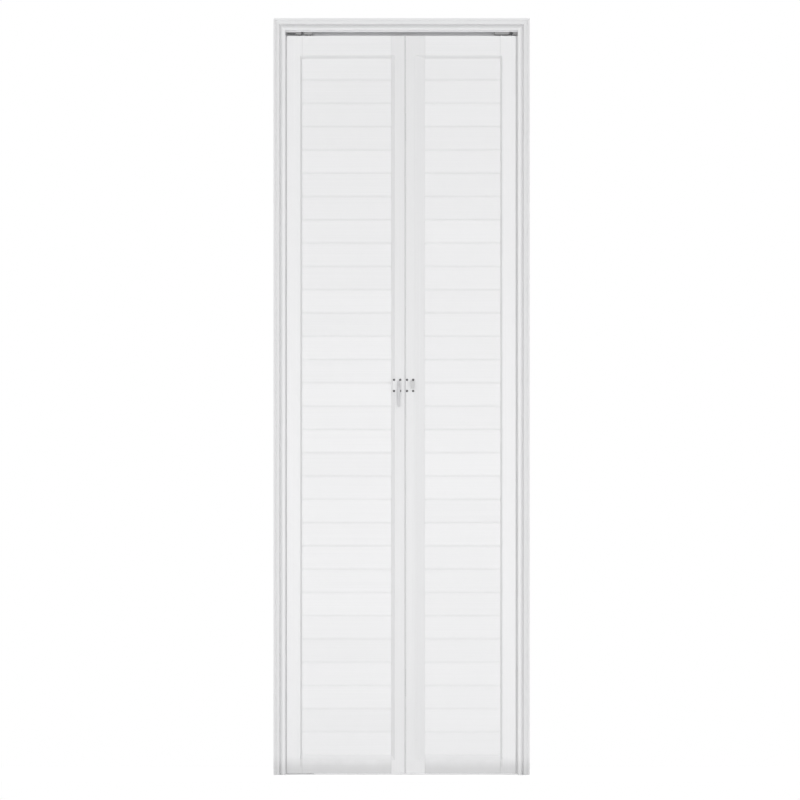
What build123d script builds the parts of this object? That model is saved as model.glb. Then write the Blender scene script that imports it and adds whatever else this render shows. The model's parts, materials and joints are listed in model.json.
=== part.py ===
# Bi-fold door: two slatted leaves that fold between a pivot side and a guide side
# Millimetres, +Z up; the left jamb's wall face is x = 0, the floor is z = 0, the front faces -Y

import os

from build123d import *

# Frame
frame_width = 711.0
frame_height = 2100.0
frame_depth = 60.0
frame_face = 33.4  # width of the frame section seen from the front
frame_wall = 2.4
frame_web = 12.0  # between the jamb's two chambers, takes the fixing holes
band_width = 16.2  # outer band, sloping back to the wall
band_drop = 9.0
quirk_inset = 7.0  # fine line along the band
quirk_half = 0.9
groove_width = 5.6  # V groove between band and bead
groove_depth = 8.5
bead_drop = 2.0  # crown of the bead behind the front
bead_rise = 2.8
frame_hole_radius = 3.25
frame_hole_end = 150.0  # end holes from the floor and from the head's top
frame_hole_count = 4

# Gaps around the leaves
pivot_gap = 2.5
guide_gap = 4.5
fold_gap = 3.5
head_gap = 15.0
floor_gap = 3.0

# Leaves
leaf_depth = 30.0
leaf_difference = 22.5  # the pivot leaf is wider by this much
outer_stile_width = 43.0
left_inner_stile_width = 37.0
right_inner_stile_width = 52.5
top_rail_height = 56.5
top_rail_lip = 5.5  # over the top slat, front and back
bottom_rail_height = 50.5
stile_wall = 2.0
edge_radius = 1.5  # free edges of the leaves
edge_break = 0.5  # edges that meet the rails
slot_depth = 12.0  # slot in the stiles for slats and tenons
slot_clearance = 0.3
tenon_length = 11.0
bevel_depth = 7.5  # bevels round the panel, mitred at the corners
outer_bevel_width = 5.5  # outer stiles
top_bevel_width = 8.0  # top rails
left_bevel_width = 10.0  # left inner stile
right_bevel_width = 28.0  # right inner stile
bottom_bevel_width = 14.0  # bottom rails

# Slats
slat_count = 30
slat_depth = 12.0
slat_gap = 0.1
lap_drop = 1.0  # top of each slat slopes in under the square edge of the next
lap_rise = 5.0
tongue_half = 2.5
tongue_height = 7.0
tongue_clearance = 0.3

# Head track
track_width = 25.0
track_wall = 2.0
track_clearance = 0.2
track_slot_depth = 30.0
track_front_drop = 4.0  # front leg below the head
track_rear_gap = 1.0  # rear leg above the leaves

# Pivot and guide
guide_setback = 3.5  # guide pin's axis from the panel's edge, over the outer stile
pin_radius = 4.5
pin_clearance = 0.05
pin_rise = 22.0
socket_clearance = 0.1
top_shank_length = 36.0
bottom_shank_length = 30.0
collar_radius = 7.5  # across the hexagon's corners, halved
top_collar_height = 2.0
block_clearance = 1.0
block_lift = 4.0  # blocks above the leaves
pivot_block_end = 9.0  # block past the pivot
step_length = 27.0  # raised end of the pivot block
step_height = 4.0
lug_gap_start = 42.0
lug_gap_width = 8.0
lug_gap_height = 8.0
guide_block_length = 44.0
guide_top_gap = 2.0
guide_block_corner = 3.0
stop_length = 14.0
bracket_width = 20.0
bracket_plate = 1.5
bracket_leg = 1.5
bracket_leg_width = 13.0  # behind the seal
bracket_leg_height = 45.0
bracket_end = 14.0  # bracket past the pivot
bracket_corner = 4.0

# Seals in the upright gaps
seal_width = 8.0
seal_y = -9.0  # in front of the fixing holes
seal_clearance = 0.2

# Fold hinges
hinge_height = 76.0
hinge_plate_width = 24.0
hinge_plate = 2.0
hinge_end = 250.0  # hinge centre from the leaf's end
knuckle_radius = 3.6
knuckle_lift = 0.4
knuckle_gap = 0.3
knuckle_relief = 0.6
hinge_pin_radius = 2.0

# Latch
latch_height = 1081.0
latch_inset = 21.0  # from the fold edge of each leaf
keeper_inset = 11.6
plate_width = 23.0
plate_height = 42.0
plate_depth = 2.0
plate_corner = 3.0
lever_offset = 4.4  # lever's axis from the plate's middle
lever_standoff = 5.0
lever_play = 0.3
lever_depth = 4.0
lever_hub = 4.5
lever_length = 57.0
lever_tip = 2.8
lever_tail = 9.5
lever_tail_radius = 3.0
lever_edge = 0.7
boss_radius = 6.5
latch_pin_radius = 2.5
latch_pin_clearance = 0.05
latch_head_radius = 4.0
latch_head_height = 2.2
keeper_offset = 6.0  # strap from the plate's middle
keeper_width = 10.0
keeper_strap = 2.5
keeper_clearance = 5.0
keeper_below = 9.0  # strap below the lever's axis
keeper_bend = 2.0

# Positions that follow
half_depth = leaf_depth / 2
opening_left = frame_face
opening_right = frame_width - frame_face
head_under = frame_height - frame_face
leaves_width = opening_right - opening_left - pivot_gap - fold_gap - guide_gap
left_leaf_width = (leaves_width + leaf_difference) / 2
left_edge = opening_left + pivot_gap
left_fold = left_edge + left_leaf_width
right_fold = left_fold + fold_gap
right_edge = opening_right - guide_gap
leaf_top = head_under - head_gap
top_rail_under = leaf_top - top_rail_height
panel_top = top_rail_under - top_rail_lip
bottom_rail_top = floor_gap + bottom_rail_height
slat_pitch = (top_rail_under - bottom_rail_top) / slat_count
left_panel = (left_edge + outer_stile_width, left_fold - left_inner_stile_width)
right_panel = (right_fold + right_inner_stile_width, right_edge - outer_stile_width)
guide_inset = outer_stile_width - guide_setback
guide_x = right_edge - guide_inset
pivot_x = left_edge + guide_inset + leaf_difference  # equal arms, so the leaves fold flat
fold_x = (left_fold + right_fold) / 2
hinge_y = half_depth + knuckle_lift + knuckle_radius
hinge_low = floor_gap + hinge_end
hinge_high = leaf_top - hinge_end
frame_hole_pitch = (frame_height - 2 * frame_hole_end) / (frame_hole_count - 1)
frame_hole_rows = [frame_hole_end + n * frame_hole_pitch for n in range(frame_hole_count)]
hinge_levels = {"lower": hinge_low, "middle": (hinge_low + hinge_high) / 2, "upper": hinge_high}
latch_x = left_fold - latch_inset
lever_x = latch_x + lever_offset
keeper_x = right_fold + keeper_inset
strap_x = keeper_x + keeper_offset
plate_front = -half_depth - plate_depth
lever_back = plate_front - lever_standoff
lever_front = lever_back - lever_depth
track_top = head_under + track_slot_depth
track_inside = track_width / 2 - track_wall
block_under = leaf_top + block_lift
block_half = track_inside - block_clearance

os.makedirs("parts", exist_ok=True)


def band_y(x):
    # front of the sloping band at a distance from the wall
    return -frame_depth / 2 + band_drop * (1 - x / band_width)


def frame_section(plane):
    # Frame section: local x from the wall to the opening, local y from front to back
    front = -frame_depth / 2
    bead_start = band_width + groove_width
    bead_side = front + bead_drop + bead_rise
    with BuildSketch(plane) as section:
        with BuildLine():
            Polyline(
                (0, 0),
                (0, band_y(0)),
                (quirk_inset - quirk_half, band_y(quirk_inset - quirk_half)),
                (quirk_inset, band_y(quirk_inset) + 2 * quirk_half),
                (quirk_inset + quirk_half, band_y(quirk_inset + quirk_half)),
                (band_width, front),
                (band_width + groove_width / 2, front + groove_depth),
                (bead_start, bead_side),
            )
            ThreePointArc(
                (bead_start, bead_side),
                ((bead_start + frame_face) / 2, front + bead_drop),
                (frame_face, bead_side),
            )
            Line((frame_face, bead_side), (frame_face, 0))
            mirror(about=Plane.XZ)
        make_face()
    return section.sketch


left_mitre = Plane((0, 0, frame_height), z_dir=(1, 0, 1))
right_mitre = Plane((frame_width, 0, frame_height), z_dir=(-1, 0, 1))
middle_plane = Plane((frame_width / 2, 0, 0), z_dir=(1, 0, 0))

# Jambs: two chambers, and fixing holes through the web between them
with BuildPart() as left_jamb:
    extrude(frame_section(Plane.XY), amount=frame_height)
    chamber_start = frame_web / 2
    chamber_end = frame_depth / 2 - max(groove_depth, band_drop) - frame_wall
    chamber_middle = (chamber_start + chamber_end) / 2
    with BuildSketch():
        with Locations((frame_face / 2, -chamber_middle), (frame_face / 2, chamber_middle)):
            Rectangle(frame_face - 2 * frame_wall, chamber_end - chamber_start)
    extrude(amount=frame_height, mode=Mode.SUBTRACT)
    split(bisect_by=left_mitre, keep=Keep.BOTTOM)
    with BuildSketch(Plane.YZ):
        with Locations(*[(0, z) for z in frame_hole_rows]):
            Circle(frame_hole_radius)
    extrude(amount=frame_face, mode=Mode.SUBTRACT)

with BuildPart() as right_jamb:
    add(mirror(left_jamb.part, about=middle_plane))

# Head: the same section, slotted below for the track
with BuildPart() as head:
    head_plane = Plane((0, 0, frame_height), x_dir=(0, 0, -1), z_dir=(1, 0, 0))
    extrude(frame_section(head_plane), amount=frame_width)
    split(bisect_by=left_mitre, keep=Keep.TOP)
    split(bisect_by=right_mitre, keep=Keep.TOP)
    with BuildSketch(Plane.YZ):
        with Locations((0, head_under)):
            Rectangle(track_width + 2 * track_clearance, 2 * track_slot_depth)
    extrude(amount=frame_width, mode=Mode.SUBTRACT)

# Track: a channel with a short front leg and a long rear leg
with BuildPart() as head_track:
    with BuildSketch(Plane.YZ.offset(opening_left + track_clearance)):
        Polygon(
            (-track_width / 2, track_top),
            (-track_width / 2, head_under - track_front_drop),
            (-track_inside, head_under - track_front_drop),
            (-track_inside, track_top - track_wall),
            (track_inside, track_top - track_wall),
            (track_inside, leaf_top + track_rear_gap),
            (track_width / 2, leaf_top + track_rear_gap),
            (track_width / 2, track_top),
            align=None,
        )
    extrude(amount=opening_right - opening_left - 2 * track_clearance)


def panel_well(panel, left_bevel, right_bevel):
    # Recess over the panel, front and back, whose sloping sides bevel the stiles and rails
    with BuildPart() as well:
        for level, spread in ((half_depth, 1), (half_depth - bevel_depth, 0)):
            low = bottom_rail_top - spread * bottom_bevel_width
            high = panel_top + spread * top_bevel_width
            left = panel[0] - spread * left_bevel
            right = panel[1] + spread * right_bevel
            with BuildSketch(Plane.XZ.offset(level)):
                Polygon((left, low), (right, low), (right, high), (left, high), align=None)
        loft()
        mirror(about=Plane.XZ)
    return well.part


left_well = panel_well(left_panel, outer_bevel_width, left_bevel_width)
right_well = panel_well(right_panel, right_bevel_width, outer_bevel_width)


def stile(edge, way, width, bevel, well):
    # Hollow stile from its free edge, way +1 or -1 towards the panel, slotted there
    panel_x = edge + way * width
    chamber_width = width - max(slot_depth, bevel) - 2 * stile_wall
    with BuildPart() as post:
        with BuildSketch(Plane.XY.offset(floor_gap)) as plan:
            with Locations((edge + way * width / 2, 0)):
                Rectangle(width, leaf_depth)
            fillet(plan.vertices().sort_by_distance((edge, 0))[:2], edge_radius)
            chamfer(plan.vertices().sort_by_distance((panel_x, 0))[:2], edge_break)
            with Locations((panel_x - way * slot_depth / 2, 0)):
                Rectangle(slot_depth, slat_depth + 2 * slot_clearance, mode=Mode.SUBTRACT)
            with Locations((edge + way * (stile_wall + chamber_width / 2), 0)):
                Rectangle(chamber_width, leaf_depth - 2 * stile_wall, mode=Mode.SUBTRACT)
        extrude(amount=leaf_top - floor_gap)
        add(well, mode=Mode.SUBTRACT)
    return post.part


left_outer_stile = stile(left_edge, 1, outer_stile_width, outer_bevel_width, left_well)
left_inner_stile = stile(left_fold, -1, left_inner_stile_width, left_bevel_width, left_well)
right_inner_stile = stile(right_fold, 1, right_inner_stile_width, right_bevel_width, right_well)
right_outer_stile = stile(right_edge, -1, outer_stile_width, outer_bevel_width, right_well)

# Tongue and groove shared by slats and rails, from the slat's own base
slat_rise = slat_pitch - slat_gap
slat_half = slat_depth / 2
groove_half = tongue_half + tongue_clearance
groove_rise = tongue_height + tongue_clearance + slat_gap
tongue_edge = [(tongue_half, 0), (tongue_half, tongue_height)]
groove_edge = [(groove_half, 0), (groove_half, groove_rise)]


def both_sides(half):
    # a half outline, from the base round to the top, closed with its mirror image
    return half + [(-y, z) for y, z in reversed(half)]


slat_outline = both_sides(
    groove_edge[::-1]
    + [
        (slat_half, 0),
        (slat_half, slat_rise - lap_rise),
        (slat_half - lap_drop, slat_rise),
    ]
    + [(y, z + slat_rise) for y, z in tongue_edge]
)


def slats(panel):
    # Thirty slats between two stiles, their ends in the stile slots
    start = panel[0] - tenon_length
    with BuildPart() as stack:
        with BuildSketch(Plane.YZ.offset(start)):
            levels = [bottom_rail_top + slat_gap + n * slat_pitch for n in range(slat_count)]
            with Locations(*[(0, z) for z in levels]):
                Polygon(*slat_outline, align=None)
        extrude(amount=panel[1] - panel[0] + 2 * tenon_length)
    return stack.part


left_slats = slats(left_panel)
right_slats = slats(right_panel)


def rail(panel, low, high, outline, well, sockets):
    # Rail with a tenon at each end; a socket is its pin's x and the heights it runs between
    with BuildPart() as bar:
        with BuildSketch(Plane.YZ.offset(panel[0])):
            Polygon(*outline, align=None)
        extrude(amount=panel[1] - panel[0])
        tenon_low = low + tongue_height + 2 * tongue_clearance
        tenon_high = high - tongue_height - 2 * tongue_clearance
        with BuildSketch(Plane.YZ.offset(panel[0] - tenon_length)):
            with Locations((0, (tenon_low + tenon_high) / 2)):
                Rectangle(slat_depth, tenon_high - tenon_low)
        extrude(amount=panel[1] - panel[0] + 2 * tenon_length)
        add(well, mode=Mode.SUBTRACT)
        for x, start, end in sockets:
            with BuildSketch(Plane((x, 0, start))):
                Circle(pin_radius + socket_clearance)
            extrude(amount=end - start, mode=Mode.SUBTRACT)
    return bar.part


lip_back = slat_half + slot_clearance
top_outline = both_sides(
    [(y, z + top_rail_under) for y, z in groove_edge[::-1]]
    + [(lip_back, top_rail_under), (lip_back, panel_top)]
    + [(half_depth, panel_top), (half_depth, leaf_top)]
)
bottom_outline = both_sides(
    [(half_depth, floor_gap), (half_depth, bottom_rail_top)]
    + [(y, z + bottom_rail_top) for y, z in tongue_edge]
)
top_heights = (top_rail_under, leaf_top)
bottom_heights = (floor_gap, bottom_rail_top)
top_socket = (leaf_top - top_shank_length, leaf_top)
bottom_socket = (floor_gap, floor_gap + bottom_shank_length)
left_top_rail = rail(left_panel, *top_heights, top_outline, left_well, [(pivot_x, *top_socket)])
right_top_rail = rail(right_panel, *top_heights, top_outline, right_well, [(guide_x, *top_socket)])
left_bottom_rail = rail(
    left_panel, *bottom_heights, bottom_outline, left_well, [(pivot_x, *bottom_socket)]
)
right_bottom_rail = rail(right_panel, *bottom_heights, bottom_outline, right_well, [])


def collar_pin(x, way, seat, shank_length, collar_height, reach):
    # Pin through a rail face, way +1 upward or -1 downward, with a hexagon collar on the face
    with BuildPart() as pin:
        with BuildSketch(Plane((x, 0, seat - way * shank_length))):
            Circle(pin_radius)
        extrude(amount=way * (shank_length + reach))
        with BuildSketch(Plane((x, 0, seat))):
            RegularPolygon(collar_radius, 6)
        extrude(amount=way * collar_height)
    return pin.part


top_reach = top_collar_height + pin_rise
top_pivot_pin = collar_pin(pivot_x, 1, leaf_top, top_shank_length, top_collar_height, top_reach)
guide_pin = collar_pin(guide_x, 1, leaf_top, top_shank_length, top_collar_height, top_reach)
bottom_collar = floor_gap - bracket_plate
bottom_pivot_pin = collar_pin(
    pivot_x, -1, floor_gap, bottom_shank_length, bottom_collar, floor_gap - pin_clearance
)

# Top pivot block: stepped and notched below, bored for the pin
with BuildPart() as top_pivot_block:
    block_start = opening_left + block_clearance
    block_end = pivot_x + pivot_block_end
    block_top = track_top - track_wall
    with BuildSketch(Plane.XZ.offset(-block_half)):
        Polygon(
            (block_start, block_under + step_height),
            (block_start + step_length, block_under + step_height),
            (block_start + step_length, block_under),
            (block_end, block_under),
            (block_end, block_top),
            (block_start, block_top),
            align=None,
        )
        with Locations((block_start + lug_gap_start + lug_gap_width / 2, block_under)):
            Rectangle(lug_gap_width, 2 * lug_gap_height, mode=Mode.SUBTRACT)
    extrude(amount=2 * block_half)
    with BuildSketch(Plane((pivot_x, 0, block_under))):
        Circle(pin_radius + pin_clearance)
    extrude(amount=pin_rise, mode=Mode.SUBTRACT)

# Guide block: slides in the track on the guide leaf's pin
with BuildPart() as guide_block:
    with BuildSketch(Plane.XY.offset(block_under)) as shoe:
        with Locations((guide_x, 0)):
            Rectangle(guide_block_length, 2 * block_half)
            chamfer(shoe.vertices(), guide_block_corner)
            Circle(pin_radius + pin_clearance, mode=Mode.SUBTRACT)
    extrude(amount=track_top - track_wall - guide_top_gap - block_under)

with BuildPart() as track_stop:
    with BuildSketch(Plane.XY.offset(block_under)):
        with Locations((opening_right - track_clearance - stop_length / 2, 0)):
            Rectangle(stop_length, 2 * block_half)
    extrude(amount=track_top - track_wall - block_under)
    chamfer(track_stop.edges().group_by(Axis.X)[0].filter_by(Axis.Z), guide_block_corner)

# Bottom bracket: floor plate with the pivot hole, narrower leg against the jamb
with BuildPart() as bottom_pivot_bracket:
    bracket_length = pivot_x + bracket_end - opening_left
    with BuildSketch():
        with Locations((opening_left + bracket_length / 2, 0)):
            Rectangle(bracket_length, bracket_width)
        with Locations((pivot_x, 0)):
            Circle(pin_radius + pin_clearance, mode=Mode.SUBTRACT)
    extrude(amount=bracket_plate)
    with BuildSketch():
        with Locations((opening_left + bracket_leg / 2, (bracket_width - bracket_leg_width) / 2)):
            Rectangle(bracket_leg, bracket_leg_width)
    extrude(amount=bracket_leg_height)
    chamfer(bottom_pivot_bracket.edges().group_by(Axis.X)[-1].filter_by(Axis.Z), bracket_corner)
    chamfer(bottom_pivot_bracket.edges().group_by(Axis.Z)[-1].filter_by(Axis.X), bracket_corner)


def seal(start, gap):
    # Strip along one side of an upright gap
    with BuildPart() as strip:
        with BuildSketch(Plane.XY.offset(floor_gap)):
            with Locations((start + (gap - seal_clearance) / 2, seal_y)):
                Rectangle(gap - seal_clearance, seal_width)
        extrude(amount=leaf_top - floor_gap)
    return strip.part


left_jamb_seal = seal(opening_left, pivot_gap)
fold_seal = seal(left_fold, fold_gap)
right_jamb_seal = seal(right_edge + seal_clearance, guide_gap)


def knuckle_spans(level, rows):
    # heights of the knuckles in the given thirds of a hinge
    third = hinge_height / 3
    base = level - hinge_height / 2
    return [(base + n * third + knuckle_gap / 2, base + (n + 1) * third - knuckle_gap / 2) for n in rows]


def hinge_leaf(level, way, rows, other_rows):
    # Hinge leaf on the back of a stile, way -1 to the left or +1 to the right of the fold
    reach = knuckle_radius + knuckle_relief
    with BuildPart() as leaf:
        with BuildSketch(Plane.XZ.offset(-half_depth)):
            with Locations((fold_x + way * hinge_plate_width / 2, level)):
                Rectangle(hinge_plate_width, hinge_height)
            for low, high in knuckle_spans(level, other_rows):
                with Locations((fold_x, (low + high) / 2)):
                    Rectangle(2 * reach, high - low + 2 * knuckle_gap, mode=Mode.SUBTRACT)
        extrude(amount=-hinge_plate)
        for low, high in knuckle_spans(level, rows):
            with BuildSketch(Plane((fold_x, hinge_y, low))):
                Circle(knuckle_radius)
            extrude(amount=high - low)
        with BuildSketch(Plane((fold_x, hinge_y, level - hinge_height / 2))):
            Circle(hinge_pin_radius + pin_clearance)
        extrude(amount=hinge_height, mode=Mode.SUBTRACT)
    return leaf.part


def hinge_pin(level):
    # Plain pin, flush with the knuckles and loose in them
    with BuildPart() as pin:
        with BuildSketch(Plane((fold_x, hinge_y, level - hinge_height / 2))):
            Circle(hinge_pin_radius)
        extrude(amount=hinge_height)
    return pin.part


hinges = {}
for row, level in hinge_levels.items():
    hinges[f"{row}_hinge_left_leaf"] = hinge_leaf(level, -1, (0, 2), (1,))
    hinges[f"{row}_hinge_right_leaf"] = hinge_leaf(level, 1, (1,), (0, 2))
    hinges[f"{row}_hinge_pin"] = hinge_pin(level)


def latch_outline(x):
    # Plate on the front of an inner stile, its corners cut off
    with BuildSketch(Plane.XZ.offset(half_depth)) as outline:
        with Locations((x, latch_height)):
            Rectangle(plate_width, plate_height)
        chamfer(outline.vertices(), plate_corner)
    return outline.sketch


# Latch plate with the boss that carries the lever
with BuildPart() as latch_plate:
    extrude(latch_outline(latch_x), amount=plate_depth)
    with BuildSketch(Plane.XZ.offset(-plate_front)):
        with Locations((lever_x, latch_height)):
            Circle(boss_radius)
    extrude(amount=lever_standoff - lever_play)
    with BuildSketch(Plane.XZ.offset(half_depth)):
        with Locations((lever_x, latch_height)):
            Circle(latch_pin_radius + latch_pin_clearance)
    extrude(amount=-lever_back - half_depth, mode=Mode.SUBTRACT)

with BuildPart() as latch_pivot:
    with BuildSketch(Plane.XZ.offset(half_depth)):
        with Locations((lever_x, latch_height)):
            Circle(latch_pin_radius)
    extrude(amount=-lever_front + lever_play - half_depth)
    with BuildSketch(Plane.XZ.offset(-lever_front + lever_play)):
        with Locations((lever_x, latch_height)):
            Circle(latch_head_radius)
    extrude(amount=latch_head_height)

# Lever: a slim bar, round at the hub, tapering below, with a short thumb tail above
with BuildPart() as latch_lever:
    with BuildSketch(Plane.XZ.offset(-lever_back)):
        with Locations((lever_x, latch_height)):
            Circle(lever_hub)
            with Locations((0, -lever_length)):
                Circle(lever_tip)
            with Locations((0, lever_tail)):
                Circle(lever_tail_radius)
        make_hull()
    extrude(amount=lever_depth)
    chamfer(latch_lever.edges().group_by(Axis.Y)[0], lever_edge)
    with BuildSketch(Plane.XZ.offset(-lever_back)):
        with Locations((lever_x, latch_height)):
            Circle(latch_pin_radius + latch_pin_clearance)
    extrude(amount=lever_depth, mode=Mode.SUBTRACT)

# Keeper: plate with a strap that hangs in front of the raised lever
with BuildPart() as keeper:
    extrude(latch_outline(keeper_x), amount=plate_depth)
    strap_back = lever_front - keeper_clearance
    strap_front = strap_back - keeper_strap
    strap_top = latch_height + lever_hub + keeper_clearance + keeper_strap
    strap_end = latch_height - keeper_below
    with BuildSketch(Plane.YZ.offset(strap_x - keeper_width / 2)):
        Polygon(
            (plate_front, strap_top),
            (strap_front, strap_top),
            (strap_front, strap_end),
            (strap_back, strap_end),
            (strap_back, strap_top - keeper_strap),
            (plate_front, strap_top - keeper_strap),
            align=None,
        )
    extrude(amount=keeper_width)
    bend = keeper.edges().filter_by(Axis.X).group_by(Axis.Y)[0].sort_by(Axis.Z)[-1]
    fillet(bend, keeper_bend)

pieces = {
    "left_jamb": left_jamb.part,
    "right_jamb": right_jamb.part,
    "head": head.part,
    "head_track": head_track.part,
    "left_outer_stile": left_outer_stile,
    "left_inner_stile": left_inner_stile,
    "left_top_rail": left_top_rail,
    "left_bottom_rail": left_bottom_rail,
    "left_slats": left_slats,
    "right_inner_stile": right_inner_stile,
    "right_outer_stile": right_outer_stile,
    "right_top_rail": right_top_rail,
    "right_bottom_rail": right_bottom_rail,
    "right_slats": right_slats,
    "top_pivot_block": top_pivot_block.part,
    "top_pivot_pin": top_pivot_pin,
    "bottom_pivot_bracket": bottom_pivot_bracket.part,
    "bottom_pivot_pin": bottom_pivot_pin,
    "guide_block": guide_block.part,
    "guide_pin": guide_pin,
    "track_stop": track_stop.part,
    "left_jamb_seal": left_jamb_seal,
    "fold_seal": fold_seal,
    "right_jamb_seal": right_jamb_seal,
    "latch_plate": latch_plate.part,
    "latch_pivot": latch_pivot.part,
    "latch_lever": latch_lever.part,
    "keeper": keeper.part,
    **hinges,
}
for name, piece in pieces.items():
    piece.label = name
    export_step(piece, f"parts/{name}.step")
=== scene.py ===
import json
import math

import bmesh
import bpy
from mathutils import Matrix, Vector


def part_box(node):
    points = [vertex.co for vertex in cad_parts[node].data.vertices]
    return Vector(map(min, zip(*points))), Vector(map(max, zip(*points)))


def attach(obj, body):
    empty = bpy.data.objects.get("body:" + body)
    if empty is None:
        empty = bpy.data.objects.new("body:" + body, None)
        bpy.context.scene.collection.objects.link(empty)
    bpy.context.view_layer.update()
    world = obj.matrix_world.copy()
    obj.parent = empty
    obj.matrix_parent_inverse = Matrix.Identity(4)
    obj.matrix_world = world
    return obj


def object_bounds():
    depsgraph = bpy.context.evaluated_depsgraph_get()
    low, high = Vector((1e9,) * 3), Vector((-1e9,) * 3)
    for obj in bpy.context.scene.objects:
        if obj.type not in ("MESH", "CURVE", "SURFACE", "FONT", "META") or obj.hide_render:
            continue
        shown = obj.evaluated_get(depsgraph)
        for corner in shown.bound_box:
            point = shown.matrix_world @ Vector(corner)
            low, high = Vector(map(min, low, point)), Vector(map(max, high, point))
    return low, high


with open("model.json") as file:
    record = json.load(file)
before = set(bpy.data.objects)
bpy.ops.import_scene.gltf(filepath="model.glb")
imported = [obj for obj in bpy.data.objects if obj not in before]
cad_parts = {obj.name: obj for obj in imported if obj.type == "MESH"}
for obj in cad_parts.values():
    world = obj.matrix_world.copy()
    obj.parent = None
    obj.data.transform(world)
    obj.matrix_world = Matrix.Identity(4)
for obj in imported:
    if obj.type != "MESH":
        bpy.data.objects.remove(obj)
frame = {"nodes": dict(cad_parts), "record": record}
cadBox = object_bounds()
nodes = frame["nodes"]
scene = bpy.context.scene
print("frame loaded:", len(nodes), "nodes")


class Wire:  # a shader value that can stand in sums
    def __init__(self, finish, socket):
        self.finish = finish
        self.socket = socket

    def __add__(self, other):
        return self.finish.maths("ADD", self, other)

    def __radd__(self, other):
        return self.finish.maths("ADD", other, self)

    def __sub__(self, other):
        return self.finish.maths("SUBTRACT", self, other)

    def __rsub__(self, other):
        return self.finish.maths("SUBTRACT", other, self)

    def __mul__(self, other):
        return self.finish.maths("MULTIPLY", self, other)

    def __rmul__(self, other):
        return self.finish.maths("MULTIPLY", other, self)

    def __truediv__(self, other):
        return self.finish.maths("DIVIDE", self, other)


class Finish:  # one material and the nodes that feed it
    def __init__(self, name, tree=None):
        if tree is None:
            self.material = bpy.data.materials.new(name)
            self.material.use_nodes = True
            tree = self.material.node_tree
        self.tree = tree
        self.tree.nodes.clear()

    def add(self, kind, settings=None, sockets=None, out=0):
        made = self.tree.nodes.new(kind)
        for key, value in (settings or {}).items():
            setattr(made, key, value)
        for key, value in (sockets or {}).items():
            if isinstance(value, Wire):
                self.tree.links.new(value.socket, made.inputs[key])
            else:
                made.inputs[key].default_value = value
        return Wire(self, made.outputs[out]) if len(made.outputs) else made

    def maths(self, operation, first, second=0.0, clamp=False):
        settings = {"operation": operation, "use_clamp": clamp}
        return self.add("ShaderNodeMath", settings, {0: first, 1: second})

    def mix(self, factor, first, second):
        settings = {"data_type": "RGBA", "clamp_factor": False}  # a tone may pass 1
        return self.add("ShaderNodeMix", settings, {0: factor, 6: first, 7: second}, out=2)

    def place(self):
        return self.add("ShaderNodeTexCoord", out="Object")

    def axis(self, name, vector):
        return self.add("ShaderNodeSeparateXYZ", None, {0: vector}, out=name)

    def noise(self, scale, detail=2.0, stretch=(1, 1, 1)):
        vector = self.add("ShaderNodeMapping", None, {"Vector": self.place(), "Scale": stretch})
        return self.add("ShaderNodeTexNoise", None, {"Vector": vector, "Scale": scale, "Detail": detail})

    def band(self, value, low, high, first=0.0, last=1.0):
        settings = {"interpolation_type": "SMOOTHSTEP"}
        return self.add("ShaderNodeMapRange", settings, {0: value, 1: low, 2: high, 3: first, 4: last})

    def bump(self, height, strength, distance):
        sockets = {"Height": height, "Strength": strength, "Distance": distance}
        return self.add("ShaderNodeBump", None, sockets)

    def shade(self, sockets):
        shader = self.add("ShaderNodeBsdfPrincipled", None, sockets)
        self.add("ShaderNodeOutputMaterial", None, {"Surface": shader})
        return self.material


def grey(level, blue=1.008):  # with the trace of blue that white plastic has
    return (level, level, level * blue, 1.0)


plastic = {
    "frame": 0.83,
    # painted light: the head is painted paler than the jambs of the same plastic, to lift its shade
    "head": 0.90,
    "leaf": 0.835,
    "innerStile": 0.785,
    "slat": 0.835,
    "roughness": 0.42,
    "roughnessSpread": 0.1,
    "specular": 0.4,
    "relief": (0.3, 0.0002),  # strength and depth of grain and streaks
    "streakRelief": 0.5,  # share of the grain's
    "grainScale": 1100.0,
    "cloud": 0.012,  # slow change of tone over the surface
    "cloudScale": 2.3,
    "streak": 0.05,  # fine lines along the extrusion
    "streakScale": (2.0, 1300.0),  # along it and across
    "slatSpread": 0.012,  # tone from one slat to the next
    "leafOffset": 57.3,  # gives the right leaf's slats other tones than the left's
    "footBand": (0.012, 0.054),  # painted shade at the foot, towards the floor: full below, gone above
    "footShade": 0.78,
    "jambFootShade": 0.86,
    "footShadeWander": 0.012,  # how far the edge of the painted foot shade wanders
    "footShadeWanderScale": 30.0,
}
# painted shade: darkening beside seams and joints, in the frame's grooves and down the bevels, where shade
# falls
paintedShade = {
    "seam": (0.03, 0.0, 0.006),  # painted shade on the slat beside its seams: amount, then full and gone
    "rail": (0.09, 0.0005, 0.0025),  # painted shade on the rail beside a stile
    "footJoint": (0.11, 0.0045, 0.0065),  # painted shade on the outer stile beside the bottom rail
    "footJointBand": (0.015, 0.028),
    "mitreSlope": 2.5,  # the bottom bevel is higher than the stile's is wide
    "jambGroove": (0.05, 0.0155, 0.018, 0.022, 0.027),  # painted shade in the frame's groove: amount, then its rise and fall from the outer edge
    "headGroove": (0.20, 0.016, 0.0215, 0.024, 0.035),
    "stileBevel": 0.10,
    "railBevel": 0.07,
    "bevelBand": (0.004, 0.0002),  # painted shade down the stile and rail bevels, below the leaf's face: full and gone
}
slats = {"count": 30, "tongue": 0.007}
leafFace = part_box("left_outer_stile")[1][1]
outerJoints = [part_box("left_outer_stile")[1][0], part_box("right_outer_stile")[0][0]]
innerJoints = [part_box("left_inner_stile")[0][0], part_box("right_inner_stile")[1][0]]
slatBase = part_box("left_slats")[0][2]
slatPitch = (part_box("left_slats")[1][2] - slats["tongue"] - slatBase) / slats["count"]


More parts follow.
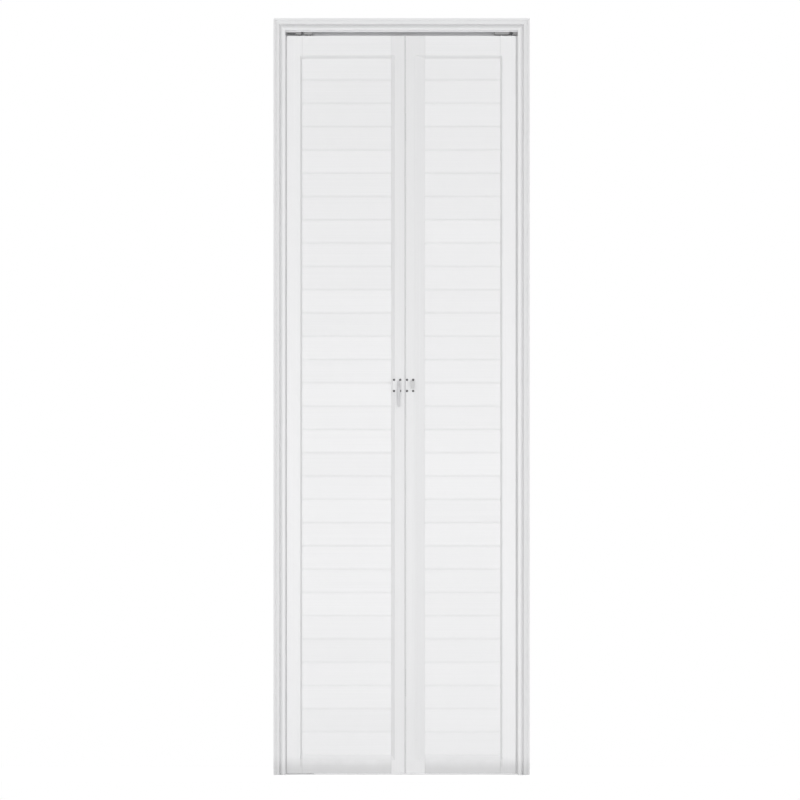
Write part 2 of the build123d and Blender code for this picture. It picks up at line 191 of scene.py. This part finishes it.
def whitePlastic(name, level, lengthwise, footShade=None, slatted=False, grooveShade=None, bevelShade=0.0,
                 rail=False, footJoint=False):
    f = Finish(name)
    across, height = f.axis("X", f.place()), f.axis("Z", f.place())
    cloud = f.noise(plastic["cloudScale"])
    along, aside = plastic["streakScale"]
    streak = f.noise(1.0, detail=3.0, stretch=[along if axis == lengthwise else aside for axis in "XYZ"])
    tone = 1 + (cloud - 0.5) * 2 * plastic["cloud"] + (streak - 0.5) * 2 * plastic["streak"]
    if slatted:
        number = f.maths("FLOOR", (height - slatBase) / slatPitch)
        side = f.maths("GREATER_THAN", across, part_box("fold_seal")[0][0])
        seed = number + side * plastic["leafOffset"]
        chance = f.add("ShaderNodeTexWhiteNoise", {"noise_dimensions": "1D"}, {"W": seed})
        tone = tone + (chance - 0.5) * 2 * plastic["slatSpread"]
        # painted shade on the slat beside its seams
        amount, full, gone = paintedShade["seam"]
        seam = f.maths("PINGPONG", height - slatBase, slatPitch / 2)
        tone = tone * f.band(seam, full, gone, 1 - amount, 1.0)
    # painted shade at the foot, darker towards the floor
    if footShade:
        wander = (f.noise(plastic["footShadeWanderScale"], detail=3.0) - 0.5) * plastic["footShadeWander"]
        tone = tone * f.band(height + wander, *plastic["footBand"], footShade, 1.0)
    # painted shade in the frame's groove
    if grooveShade:
        if lengthwise == "X":
            edge = cadBox[1][2] - height
        else:
            edge = f.maths("MINIMUM", across - cadBox[0][0], cadBox[1][0] - across)
        amount, start, full, wane, gone = grooveShade
        tone = tone * (1 - amount * f.band(edge, start, full) * f.band(edge, wane, gone, 1.0, 0.0))
    # painted shade down the bevels, below the leaf's face
    if bevelShade:
        depth = f.maths("ABSOLUTE", f.axis("Y", f.place()))
        low, high = (leafFace - below for below in paintedShade["bevelBand"])
        tone = tone * f.band(depth, low, high, 1 - bevelShade, 1.0)
    # painted shade on the outer stile beside the bottom rail
    if footJoint:
        amount, full, gone = paintedShade["footJoint"]
        for edge in outerJoints:
            gap = f.maths("ABSOLUTE", across - edge)
            beside = f.band(gap, full, gone, 1.0, 0.0) * f.band(height, *paintedShade["footJointBand"])
            below = f.maths("LESS_THAN", height + gap * paintedShade["mitreSlope"], slatBase)
            tone = tone * (1 - amount * beside * below)
    # painted shade on the rail beside the stiles
    if rail:
        amount, full, gone = paintedShade["rail"]
        for edge in outerJoints + innerJoints:
            gap = f.maths("ABSOLUTE", across - edge)
            tone = tone * f.band(gap, full, gone, 1 - amount, 1.0)
    grain = f.noise(plastic["grainScale"])
    uneven = (cloud - 0.5 + streak - 0.5) * plastic["roughnessSpread"]
    return f.shade({
        "Base Color": f.mix(tone, (0, 0, 0, 1), grey(level)),
        "Roughness": plastic["roughness"] + uneven,
        "Specular IOR Level": plastic["specular"],
        "Normal": f.bump(grain + streak * plastic["streakRelief"], *plastic["relief"]),
    })


metal = {
    "tones": (0.85, 1.12),  # darkest and palest, times the metal's own level
    "blue": 1.02,
    "cloudScale": 25.0,
    "cloudShare": 0.3,
    "roughnessSpread": 0.2,
    "relief": (0.06, 0.0002),
}


def drawnMetal(name, level, roughness, stretch, metallic=1.0):
    f = Finish(name)
    streak = f.noise(1.0, detail=4.0, stretch=stretch)
    cloud = f.noise(metal["cloudScale"])
    patch = streak * (1 - metal["cloudShare"]) + cloud * metal["cloudShare"]
    return f.shade({
        "Base Color": f.mix(patch, *(grey(level * share, metal["blue"]) for share in metal["tones"])),
        "Metallic": metallic,
        "Roughness": roughness + (streak - 0.5) * metal["roughnessSpread"],
        "Normal": f.bump(streak, *metal["relief"]),
    })


moulding = {
    "tones": (0.85, 1.12),
    "grainScale": 700.0,
    "cloudScale": 40.0,
    "roughnessSpread": 0.1,
    "relief": (0.15, 0.0003),
}


def moulded(name, level, roughness):
    f = Finish(name)
    grain = f.noise(moulding["grainScale"], detail=3.0)
    cloud = f.noise(moulding["cloudScale"])
    return f.shade({
        "Base Color": f.mix((grain + cloud) / 2, *(grey(level * share) for share in moulding["tones"])),
        "Roughness": roughness + (cloud - 0.5) * moulding["roughnessSpread"],
        "Normal": f.bump(grain, *moulding["relief"]),
    })


coat = {
    "level": 0.79,
    "speck": (0.98, 1.02),  # darkest and palest, times the level
    "speckScale": 1200.0,
    "strapShade": 0.57,  # painted shade on the keeper's strap
    "strapShadeStart": 0.004,  # how far in front of the latch plate the painted shade begins
    "strapShadeDepth": 0.002,  # from there to full painted shade
    "wander": 0.001,
    "wanderScale": 400.0,
    "roughness": 0.38,
    "roughnessSpread": 0.1,
    "relief": (0.08, 0.0002),
}


def latchCoat(name):
    f = Finish(name)
    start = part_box("latch_plate")[0][1] - coat["strapShadeStart"]
    wander = (f.noise(coat["wanderScale"], detail=3.0) - 0.5) * coat["wander"]
    # painted shade on the keeper's strap, which stands in front of the latch plate
    strapShade = f.band(f.axis("Y", f.place()) + wander, start - coat["strapShadeDepth"], start, 1.0, 0.0)
    speck = f.noise(coat["speckScale"])
    fresh = f.mix(speck, *(grey(coat["level"] * share) for share in coat["speck"]))
    return f.shade({
        "Base Color": f.mix(strapShade, fresh, grey(coat["strapShade"])),
        "Roughness": coat["roughness"] + (speck - 0.5) * coat["roughnessSpread"],
        "Normal": f.bump(speck, *coat["relief"]),
    })


finishes = {
    "frame_white": whitePlastic("frame plastic", plastic["frame"], "Z", plastic["jambFootShade"],
                                grooveShade=paintedShade["jambGroove"]),
    "leaf_white": whitePlastic("leaf plastic", plastic["leaf"], "Z", plastic["footShade"],
                               bevelShade=paintedShade["stileBevel"], footJoint=True),
    "stile_white": whitePlastic("inner stile plastic", plastic["innerStile"], "Z"),
    "slat_white": whitePlastic("slat plastic", plastic["slat"], "X", slatted=True),
    "track_grey": drawnMetal("track metal", level=0.90, roughness=0.6, stretch=(3, 500, 500), metallic=0.1),
    "dark_nylon": moulded("grey nylon", level=0.36, roughness=0.55),
    "seal_grey": moulded("pale seal", level=0.64, roughness=0.7),
    "hinge_steel": drawnMetal("hinge steel", level=0.38, roughness=0.48, stretch=(300, 300, 6)),
    "latch_white": latchCoat("latch coat"),
    "lever_zinc": drawnMetal("lever zinc", level=0.60, roughness=0.6, stretch=(600, 600, 20), metallic=0.1),
}
ownFinish = {  # rails and head run across; painted light: the head is painted paler than the jambs and the bracket paler than the latch, to lift their shade
    "head": whitePlastic("head plastic", plastic["head"], "X", grooveShade=paintedShade["headGroove"]),
    "left_top_rail": whitePlastic("top rail plastic", plastic["leaf"], "X",
                                  bevelShade=paintedShade["railBevel"], rail=True),
    # painted light: the bracket is painted paler, to lift the shade the leaf casts on it
    "bottom_pivot_bracket": moulded("bracket coat", level=0.93, roughness=0.4),
    "left_bottom_rail": whitePlastic("bottom rail plastic", plastic["leaf"], "X", plastic["footShade"],
                                     rail=True),
}
for rail in ("top_rail", "bottom_rail"):
    ownFinish["right_" + rail] = ownFinish["left_" + rail]
slotOf = {row["node"]: row["material_slot"] for row in frame["record"]["subparts"]}
for name, piece in nodes.items():
    for held in piece.material_slots:
        held.material = ownFinish.get(name, finishes[slotOf[name]])
screwFinish = drawnMetal("screw steel", level=0.16, roughness=0.45, stretch=(300, 300, 300))
print("finishes set:", len(finishes), "and", len(ownFinish), "own")


def lathe(bm, profile, steps):
    rings = []
    for radius, height in profile:
        if radius == 0:
            rings.append([bm.verts.new((0, 0, height))])
            continue
        turns = [2 * math.pi * n / steps for n in range(steps)]
        rings.append([bm.verts.new((radius * math.cos(a), radius * math.sin(a), height)) for a in turns])
    for low, high in zip(rings, rings[1:]):
        for n in range(steps):
            m = (n + 1) % steps
            corners = [low[n % len(low)], low[m % len(low)], high[m % len(high)], high[n % len(high)]]
            bm.faces.new(dict.fromkeys(corners))


def meshFrom(name, bm):
    bmesh.ops.recalc_face_normals(bm, faces=bm.faces)
    mesh = bpy.data.meshes.new(name)
    bm.to_mesh(mesh)
    bm.free()
    return mesh


def screwMesh(name, head):
    dome = [(0, 0), (head["radius"], 0), (head["radius"], head["rim"])]
    for n in range(1, head["arc"]):
        a = math.pi / 2 * n / head["arc"]
        rise = head["rim"] + (head["height"] - head["rim"]) * math.sin(a)
        dome.append((head["radius"] * math.cos(a), rise))
    dome.append((0, head["height"]))
    bm = bmesh.new()
    lathe(bm, dome, head["steps"])
    body = bpy.data.objects.new(name, meshFrom(name, bm))
    bm = bmesh.new()
    for turn in range(head["slots"]):  # one slot, or two that cross
        size = (head["slotLength"], head["slotWidth"], 2 * head["slotDepth"])
        move = Matrix.Translation((0, 0, head["height"])) @ Matrix.Rotation(turn * math.pi / 2, 4, "Z")
        bmesh.ops.create_cube(bm, size=1.0, matrix=move @ Matrix.Diagonal(size + (1,)))
    cutter = bpy.data.objects.new(name + " slot", meshFrom(name + " slot", bm))
    for thing in (body, cutter):
        scene.collection.objects.link(thing)
    cut = body.modifiers.new("slot", "BOOLEAN")
    cut.operation = "DIFFERENCE"
    cut.solver = "EXACT"
    cut.use_self = True
    cut.object = cutter
    mesh = bpy.data.meshes.new_from_object(body.evaluated_get(bpy.context.evaluated_depsgraph_get()))
    for thing in (body, cutter):
        bpy.data.objects.remove(thing)
    return mesh


def screwRow(name, head, places, facing, finish):
    one = screwMesh(name, head)
    way = Vector(facing).to_track_quat("Z", "X").to_matrix().to_4x4()
    bm = bmesh.new()
    for n, place in enumerate(places):
        turned = Matrix.Rotation(math.radians(head["turn"] * n), 4, "Z")
        old = set(bm.verts)
        bm.from_mesh(one)
        fresh = [v for v in bm.verts if v not in old]
        bmesh.ops.transform(bm, matrix=Matrix.Translation(place) @ way @ turned, verts=fresh)
    piece = bpy.data.objects.new(name, meshFrom(name, bm))
    piece.data.materials.append(finish)
    scene.collection.objects.link(piece)
    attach(piece, "door")


latchScrew = {
    "radius": 0.0033, "rim": 0.0007, "height": 0.0019, "arc": 5, "steps": 28,
    "slots": 2, "slotLength": 0.0036, "slotWidth": 0.0008, "slotDepth": 0.0009, "turn": 37.0,
    "across": 0.0172, "apart": 0.031, "plate": 0.002,
}
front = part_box("left_inner_stile")[0][1] - latchScrew["plate"]  # face of the plates
for plate in ("latch_plate", "keeper"):
    low, high = (Vector(c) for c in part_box(plate))
    middle = (low + high) / 2
    places = [
        (middle.x + i * latchScrew["across"] / 2, front, middle.z + k * latchScrew["apart"] / 2)
        for i in (-1, 1) for k in (-1, 1)
    ]
    screwRow(plate + "_screws", latchScrew, places, (0, -1, 0), screwFinish)
print("latch screws made")

hingeScrew = {
    "radius": 0.0034, "rim": 0.0002, "height": 0.0011, "arc": 4, "steps": 28,
    "slots": 2, "slotLength": 0.0038, "slotWidth": 0.0008, "slotDepth": 0.0007, "turn": 53.0,
    "inset": 0.0075, "apart": 0.026, "plate": 0.002,
}
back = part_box("left_inner_stile")[1][1] + hingeScrew["plate"]  # face of the hinge leaves
for row in ("lower", "middle", "upper"):
    places = []
    for side, edge, inward in (("left", 0, 1), ("right", 1, -1)):
        corners = [Vector(c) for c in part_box(f"{row}_hinge_{side}_leaf")]
        x = corners[edge].x + inward * hingeScrew["inset"]
        middle = (corners[0].z + corners[1].z) / 2
        places += [(x, back, middle + k * hingeScrew["apart"]) for k in (-1, 0, 1)]
    screwRow(row + "_hinge_screws", hingeScrew, places, (0, 1, 0), screwFinish)
print("hinge screws made")

pivotCap = {
    "radius": 0.0038, "rim": 0.0002, "height": 0.0010, "arc": 5, "steps": 32,
    "slots": 1, "slotLength": 0.0062, "slotWidth": 0.0009, "slotDepth": 0.0007, "turn": 0.0,
}
low, high = (Vector(c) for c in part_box("latch_pivot"))
capPlace = ((low.x + high.x) / 2, low.y, (low.z + high.z) / 2)
screwRow("latch_pivot_cap", pivotCap, [capPlace], (0, -1, 0), finishes["lever_zinc"])
print("latch pivot cap made")

studio = {
    "pixel": 2.775e-3,  # metres of door to a pixel of the picture
    "imageCentre": (0.3511, 1.0405),
    "distance": 12.0,
    "frontDepth": 0.022,  # plane of the door the pixel size holds for
    "image": 800,
    "sensor": 36.0,
    "clipEnd": 100.0,
    "sideLight": 0.27,  # world light from the sides and above
    "frontLight": 1.33,  # more of it from front and back
    "keyPlace": (0.40, -2.8, 0.45),
    "keySize": (2.4, 0.88),
    "keyPower": 19.3,
    "floorHalf": 9.0,
    "floorTone": 0.84,
    "floorGlow": 0.5,
    "floorShade": (0.04, 0.25),  # beside the door its shade shows, farther off the floor is plain white
}


def aim(thing, target):
    way = Vector(target) - thing.location
    thing.rotation_euler = way.to_track_quat("-Z", "Y").to_euler()


camera = bpy.data.cameras.new("front camera")
camera.sensor_width = studio["sensor"]
reach = studio["distance"] - studio["frontDepth"]
camera.lens = studio["sensor"] * reach / (studio["pixel"] * studio["image"])
camera.clip_end = studio["clipEnd"]
stand = bpy.data.objects.new("front camera", camera)
stand.location = (studio["imageCentre"][0], -studio["distance"], studio["imageCentre"][1])
stand.rotation_euler = (math.radians(90), 0, 0)
scene.collection.objects.link(stand)
scene.camera = stand

for name, way in (("front light", 1), ("back light", -1)):
    lamp = bpy.data.lights.new(name, "AREA")
    lamp.shape = "RECTANGLE"
    lamp.size, lamp.size_y = studio["keySize"]
    lamp.energy = studio["keyPower"]
    lampStand = bpy.data.objects.new(name, lamp)
    across, depth, height = studio["keyPlace"]
    lampStand.location = (across, way * depth, height)
    aim(lampStand, (across, 0, height))
    scene.collection.objects.link(lampStand)


def seenRay(f):  # 1 where the camera, gloss or glass looks, 0 for light on the object
    rays = [f.add("ShaderNodeLightPath", out=name)
            for name in ("Is Camera Ray", "Is Glossy Ray", "Is Transmission Ray")]
    return f.maths("ADD", rays[0] + rays[1], rays[2], clamp=True)


world = bpy.data.worlds.new("studio")
world.use_nodes = True
scene.world = world
w = Finish("studio", world.node_tree)
facing = w.maths("ABSOLUTE", w.axis("Y", w.add("ShaderNodeTexCoord", out="Generated")))
light = studio["sideLight"] + facing * facing * studio["frontLight"]
shown = seenRay(w)
glow = w.add("ShaderNodeBackground", None, {
    "Color": (1, 1, 1, 1),
    "Strength": light * (1 - shown) + shown,
})
w.add("ShaderNodeOutputWorld", None, {"Surface": glow})

half = studio["floorHalf"]
corners = [(x * half, y * half, 0) for x, y in ((-1, -1), (1, -1), (1, 1), (-1, 1))]
floorMesh = bpy.data.meshes.new("floor")
floorMesh.from_pydata(corners, [], [(0, 1, 2, 3)])
floor = bpy.data.objects.new("floor", floorMesh)
scene.collection.objects.link(floor)
fl = Finish("studio floor")
matt = fl.add("ShaderNodeBsdfDiffuse", None, {"Color": grey(studio["floorTone"], 1.0)})
soft = fl.add("ShaderNodeEmission", None, {"Color": grey(1.0, 1.0), "Strength": studio["floorGlow"]})
white = fl.add("ShaderNodeEmission", None, {"Color": grey(1.0, 1.0), "Strength": 1.0})
lifted = fl.add("ShaderNodeAddShader", None, {0: matt, 1: soft})
away = fl.band(fl.maths("ABSOLUTE", fl.axis("Y", fl.place())), *studio["floorShade"])
shownFloor = fl.add("ShaderNodeMixShader", None, {0: away, 1: lifted, 2: white})
both = fl.add("ShaderNodeMixShader", None, {0: seenRay(fl), 1: matt, 2: shownFloor})
fl.add("ShaderNodeOutputMaterial", None, {"Surface": both})
floorMesh.materials.append(fl.material)
scene.view_settings.view_transform = "Standard"
print("studio set")
